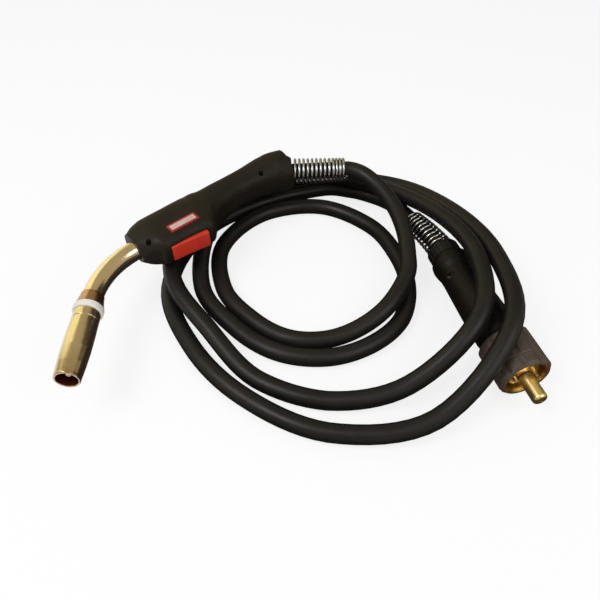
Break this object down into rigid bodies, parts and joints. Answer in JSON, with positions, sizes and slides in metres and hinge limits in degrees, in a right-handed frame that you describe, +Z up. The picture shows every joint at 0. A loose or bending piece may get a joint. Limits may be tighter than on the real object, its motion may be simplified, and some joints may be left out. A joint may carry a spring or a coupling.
{
  "type": "mig welding torch",
  "caption": "Welding torch with a bent neck and gas nozzle, a handle with a red trigger, a coiled lead with spring strain reliefs, and a threaded-nut plug, lying on a flat surface.",
  "frame": {"origin": "on the surface that the torch lies on, below the middle of the handle's grip", "axes": "+Z up from the surface; -Y the way the welding wire leaves the contact tip; +X to the right of the nozzle, towards the plug"},
  "size_m": [0.4374, 0.381, 0.0821],
  "materials": {
    "nozzle_metal": "bright, slightly heat-tinted",
    "white_insulator": "satin",
    "neck_metal": "bright",
    "copper": "satin",
    "brass": "satin",
    "inner_insulation": "matte",
    "handle_plastic": "fine-grained satin",
    "swivel_plastic": "satin",
    "trigger_red": "semi-gloss, worn edges",
    "label_pale": "satin, bare",
    "steel": "dull",
    "spring_steel": "bright",
    "switch_plastic": "matte",
    "lead_rubber": "satin, scuffed",
    "inner_rubber": "matte",
    "plug_plastic": "satin"
  },
  "bodies": {
    "torch": {"nozzle_clip": "steel", "insulator_ring": "white_insulator", "neck_ferrule": "neck_metal", "gas_diffuser": "white_insulator", "tip_holder": "brass", "contact_tip": "copper", "neck_tube": "neck_metal", "neck_insulation": "inner_insulation", "neck_conductor": "copper", "neck_liner": "steel", "neck_nut": "brass", "power_block": "brass", "handle_upper": "handle_plastic", "handle_lower": "handle_plastic", "handle_screws": "steel", "label_plate": "label_pale", "trigger_pin": "steel", "trigger_spring": "steel", "switch_body": "switch_plastic", "switch_wires": "inner_rubber", "inner_lead": "inner_rubber", "swivel_ball": "swivel_plastic", "handle_spring": "spring_steel", "cable": "lead_rubber", "plug_spring": "spring_steel", "plug_collar": "swivel_plastic", "plug_shell_upper": "plug_plastic", "plug_shell_lower": "plug_plastic", "plug_screws": "steel", "cable_terminal": "copper", "plug_lead": "inner_rubber", "euro_block": "brass", "euro_pin": "brass", "pin_seal": "inner_rubber", "nut_clip": "steel"},
    "nozzle": {"gas_nozzle": "nozzle_metal"},
    "trigger": {"trigger": "trigger_red"},
    "plunger": {"switch_plunger": "switch_plastic"},
    "nut": {"nut_body": "plug_plastic", "nut_insert": "brass"},
    "contact_a": {"contact_pin_a": "brass"},
    "contact_b": {"contact_pin_b": "brass"}
  },
  "joints": [
    {"name": "trigger_hinge", "type": "hinge", "parent": "torch", "child": "trigger", "pos_m": [-0.04023, -0.07189, 0.058], "axis": [0, 0, 1], "range_deg": [0, 6], "stiffness_Nm_per_rad": 0.8, "springref_deg": -5.16},
    {"name": "plunger_slide", "type": "slide", "parent": "torch", "child": "plunger", "axis": [-0.6691, 0.7431, 0], "range_m": [0, 0.0024], "stiffness_N_per_m": 4, "springref_m": -0.0006},
    {"name": "nozzle_slide", "type": "slide", "parent": "torch", "child": "nozzle", "axis": [0, -1, 0], "range_m": [0, 0.022]},
    {"name": "nut_turn", "type": "hinge", "parent": "torch", "child": "nut", "pos_m": [0.28468, -0.18409, 0.0255], "axis": [0.2874, -0.9578, 0], "continuous": true},
    {"name": "contact_a_slide", "type": "slide", "parent": "torch", "child": "contact_a", "axis": [-0.2874, 0.9578, 0], "range_m": [0, 0.003], "stiffness_N_per_m": 700, "springref_m": -0.002},
    {"name": "contact_b_slide", "type": "slide", "parent": "torch", "child": "contact_b", "axis": [-0.2874, 0.9578, 0], "range_m": [0, 0.003], "stiffness_N_per_m": 700, "springref_m": -0.002}
  ],
  "couplings": [
    {"joint": "plunger_slide", "follows": "trigger_hinge", "m_per_rad": 0.022}
  ]
}
